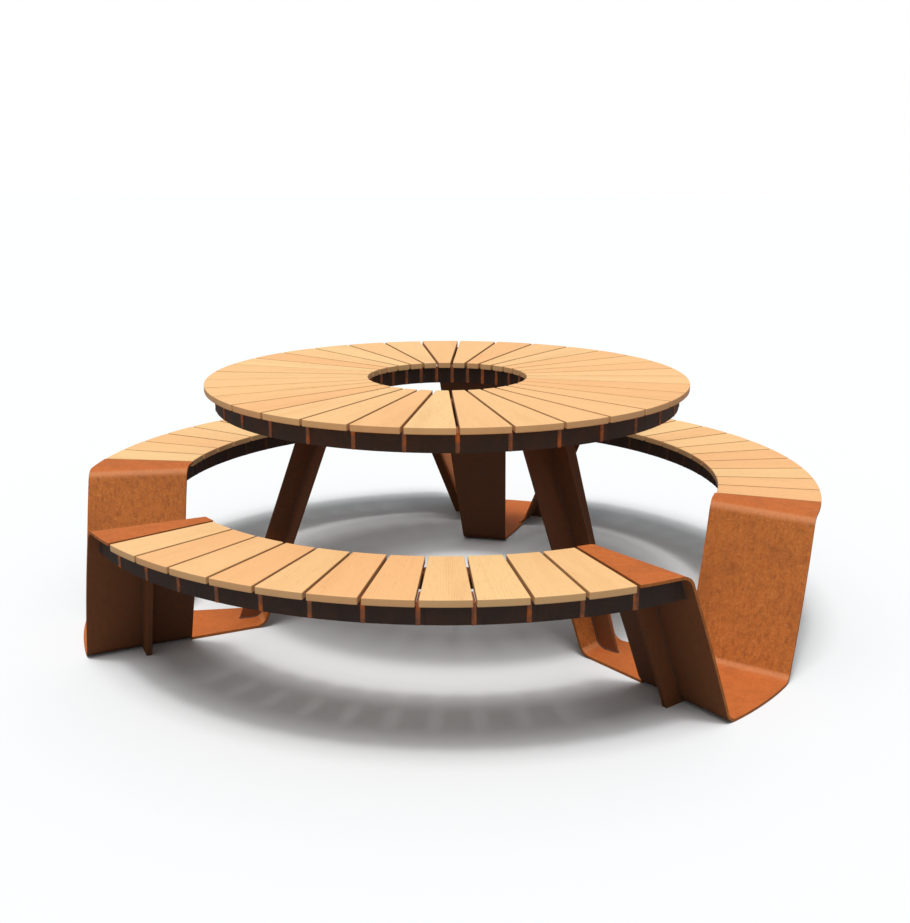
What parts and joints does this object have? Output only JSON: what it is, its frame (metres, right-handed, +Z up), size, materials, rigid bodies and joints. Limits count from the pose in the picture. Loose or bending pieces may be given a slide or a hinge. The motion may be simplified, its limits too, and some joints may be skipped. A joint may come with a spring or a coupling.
{
  "type": "picnic table",
  "caption": "Round slatted picnic table with a centre hole and three curved slatted benches on folded weathering-steel supports.",
  "frame": {"origin": "on the floor under the middle of the table top", "axes": "+Z up, +Y towards the rear support, front bench on -Y"},
  "size_m": [2.358, 2.358, 0.763],
  "materials": {
    "slat_wood": "planed, lightly oiled softwood with rounded edges",
    "weathering_steel": "weathered rust patina, matt",
    "frame_steel": "dark brown patina, matt",
    "zinc_fasteners": "zinc-plated, satin"
  },
  "bodies": {
    "root": {"bench_bolts": "zinc_fasteners", "bench_nuts": "zinc_fasteners", "front_bench_end_ribs": "frame_steel", "front_bench_fins": "frame_steel", "front_bench_inner_band": "frame_steel", "front_bench_outer_band": "frame_steel", "front_bench_slat_screws": "zinc_fasteners", "front_bench_slats": "slat_wood", "front_bench_tabs": "frame_steel", "left_bench_end_ribs": "frame_steel", "left_bench_fins": "frame_steel", "left_bench_inner_band": "frame_steel", "left_bench_outer_band": "frame_steel", "left_bench_slat_screws": "zinc_fasteners", "left_bench_slats": "slat_wood", "left_bench_tabs": "frame_steel", "left_support_ccw_cheeks": "weathering_steel", "left_support_ccw_end_plate": "weathering_steel", "left_support_ccw_rib": "weathering_steel", "left_support_cw_cheeks": "weathering_steel", "left_support_cw_end_plate": "weathering_steel", "left_support_cw_rib": "weathering_steel", "left_support_plate": "weathering_steel", "left_table_leg_rib": "weathering_steel", "rear_support_ccw_cheeks": "weathering_steel", "rear_support_ccw_end_plate": "weathering_steel", "rear_support_ccw_rib": "weathering_steel", "rear_support_cw_cheeks": "weathering_steel", "rear_support_cw_end_plate": "weathering_steel", "rear_support_cw_rib": "weathering_steel", "rear_support_plate": "weathering_steel", "rear_table_leg_rib": "weathering_steel", "right_bench_end_ribs": "frame_steel", "right_bench_fins": "frame_steel", "right_bench_inner_band": "frame_steel", "right_bench_outer_band": "frame_steel", "right_bench_slat_screws": "zinc_fasteners", "right_bench_slats": "slat_wood", "right_bench_tabs": "frame_steel", "right_support_ccw_cheeks": "weathering_steel", "right_support_ccw_end_plate": "weathering_steel", "right_support_ccw_rib": "weathering_steel", "right_support_cw_cheeks": "weathering_steel", "right_support_cw_end_plate": "weathering_steel", "right_support_cw_rib": "weathering_steel", "right_support_plate": "weathering_steel", "right_table_leg_rib": "weathering_steel", "table_bolt_spacers": "zinc_fasteners", "table_bolts": "zinc_fasteners", "table_inner_band": "frame_steel", "table_inner_fins": "frame_steel", "table_inner_tabs": "frame_steel", "table_nuts": "zinc_fasteners", "table_outer_band": "frame_steel", "table_outer_fins": "frame_steel", "table_outer_tabs": "frame_steel", "table_slat_screws": "zinc_fasteners", "table_slats_front": "slat_wood", "table_slats_left": "slat_wood", "table_slats_right": "slat_wood"}
  },
  "joints": []
}
